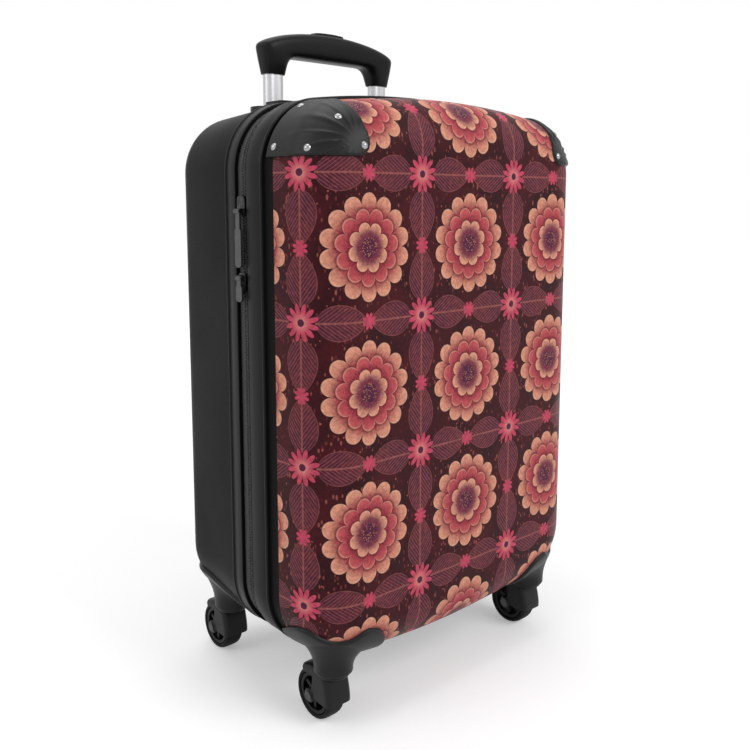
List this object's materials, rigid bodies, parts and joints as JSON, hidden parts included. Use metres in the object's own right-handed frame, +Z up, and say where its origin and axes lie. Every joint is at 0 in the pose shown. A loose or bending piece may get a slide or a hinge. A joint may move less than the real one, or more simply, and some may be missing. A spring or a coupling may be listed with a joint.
{
  "type": "cabin suitcase",
  "caption": "Hard-shell cabin suitcase on swivel casters: zipped halves, printed front, corner guards, telescopic pull handle.",
  "frame": {"origin": "on the floor under the middle of the case, where the wheels stand", "axes": "+Z up, -Y out of the printed front, +X to the right seen from the front"},
  "size_m": [0.3539, 0.2376, 0.6208],
  "materials": {
    "shell": "fine grain",
    "print": "printed film with a floral field, satin gloss",
    "rim": "smooth",
    "tape": "woven",
    "lining": "woven",
    "board": "matt",
    "webbing": "woven",
    "moulded": "satin",
    "tube": "anodised",
    "bright": "polished",
    "slider": "satin",
    "tyre": "matt"
  },
  "bodies": {
    "back_half": {"back_shell": "shell", "back_rim": "rim", "back_zip_tape": "tape", "hinge_tape": "tape", "tube_cover_board": "board", "back_lining": "lining", "packing_strap_left": "webbing", "packing_strap_right": "webbing", "strap_buckle": "moulded", "top_handle_strap": "webbing", "top_handle_caps": "moulded", "side_handle_strap": "webbing", "side_handle_caps": "moulded", "rear_bracket_left": "moulded", "rear_bracket_right": "moulded", "socket_rear_left": "moulded", "socket_rear_right": "moulded", "handle_bezel": "moulded", "handle_base": "board", "outer_tube_left": "tube", "outer_tube_right": "tube"},
    "front_half": {"front_shell": "shell", "printed_film": "print", "front_rim": "rim", "front_zip_tape": "tape", "front_lining": "lining", "corner_guard_left": "moulded", "corner_guard_right": "moulded", "guard_rivets": "bright", "front_bracket_left": "moulded", "front_bracket_right": "moulded", "socket_front_left": "moulded", "socket_front_right": "moulded"},
    "handle_middle": {"middle_tube_left": "tube", "middle_tube_right": "tube"},
    "handle_inner": {"inner_tube_left": "tube", "inner_tube_right": "tube", "handle_grip": "moulded"},
    "handle_button": {"release_button": "moulded"},
    "slider_upper": {"zip_slider_upper": "slider"},
    "tab_upper": {"pull_tab_upper": "slider"},
    "slider_lower": {"zip_slider_lower": "slider"},
    "tab_lower": {"pull_tab_lower": "slider"},
    "caster_front_left": {"fork_front_left": "moulded", "axle_front_left": "bright"},
    "wheel_front_left": {"hub_front_left": "moulded", "tyre_front_left": "tyre"},
    "caster_front_right": {"fork_front_right": "moulded", "axle_front_right": "bright"},
    "wheel_front_right": {"hub_front_right": "moulded", "tyre_front_right": "tyre"},
    "caster_rear_left": {"fork_rear_left": "moulded", "axle_rear_left": "bright"},
    "wheel_rear_left": {"hub_rear_left": "moulded", "tyre_rear_left": "tyre"},
    "caster_rear_right": {"fork_rear_right": "moulded", "axle_rear_right": "bright"},
    "wheel_rear_right": {"hub_rear_right": "moulded", "tyre_rear_right": "tyre"}
  },
  "joints": [
    {"name": "lid_hinge", "type": "hinge", "parent": "back_half", "child": "front_half", "pos_m": [0.1745, -0.0115, 0.297], "axis": [0, 0, 1], "range_deg": [0, 180]},
    {"name": "handle_lower_slide", "type": "slide", "parent": "back_half", "child": "handle_middle", "axis": [0, 0, 1], "range_m": [0, 0.19]},
    {"name": "handle_upper_slide", "type": "slide", "parent": "handle_middle", "child": "handle_inner", "axis": [0, 0, 1], "range_m": [-0.029, 0.19]},
    {"name": "release_press", "type": "slide", "parent": "handle_inner", "child": "handle_button", "axis": [0, 0, -1], "range_m": [0, 0.003], "stiffness_N_per_m": 400},
    {"name": "swivel_front_left", "type": "hinge", "parent": "front_half", "child": "caster_front_left", "pos_m": [-0.132, -0.081, 0.052], "axis": [0, 0, 1], "continuous": true},
    {"name": "roll_front_left", "type": "hinge", "parent": "caster_front_left", "child": "wheel_front_left", "pos_m": [-0.132, -0.063, 0.023], "axis": [1, 0, 0], "continuous": true},
    {"name": "swivel_front_right", "type": "hinge", "parent": "front_half", "child": "caster_front_right", "pos_m": [0.132, -0.081, 0.052], "axis": [0, 0, 1], "continuous": true},
    {"name": "roll_front_right", "type": "hinge", "parent": "caster_front_right", "child": "wheel_front_right", "pos_m": [0.132, -0.063, 0.023], "axis": [1, 0, 0], "continuous": true},
    {"name": "swivel_rear_left", "type": "hinge", "parent": "back_half", "child": "caster_rear_left", "pos_m": [-0.132, 0.081, 0.052], "axis": [0, 0, 1], "continuous": true},
    {"name": "roll_rear_left", "type": "hinge", "parent": "caster_rear_left", "child": "wheel_rear_left", "pos_m": [-0.132, 0.099, 0.023], "axis": [1, 0, 0], "continuous": true},
    {"name": "swivel_rear_right", "type": "hinge", "parent": "back_half", "child": "caster_rear_right", "pos_m": [0.132, 0.081, 0.052], "axis": [0, 0, 1], "continuous": true},
    {"name": "roll_rear_right", "type": "hinge", "parent": "caster_rear_right", "child": "wheel_rear_right", "pos_m": [0.132, 0.099, 0.023], "axis": [1, 0, 0], "continuous": true},
    {"name": "zip_upper", "type": "slide", "parent": "back_half", "child": "slider_upper", "axis": [0, 0, 1], "range_m": [0, 0.02]},
    {"name": "tab_upper_swing", "type": "hinge", "parent": "slider_upper", "child": "tab_upper", "pos_m": [-0.17483, -0.0115, 0.44325], "axis": [0, 1, 0], "range_deg": [0, 150]},
    {"name": "zip_lower", "type": "slide", "parent": "back_half", "child": "slider_lower", "axis": [0, 0, 1], "range_m": [-0.24, 0]},
    {"name": "tab_lower_swing", "type": "hinge", "parent": "slider_lower", "child": "tab_lower", "pos_m": [-0.17483, -0.0115, 0.38725], "axis": [0, 1, 0], "range_deg": [0, 150]}
  ]
}
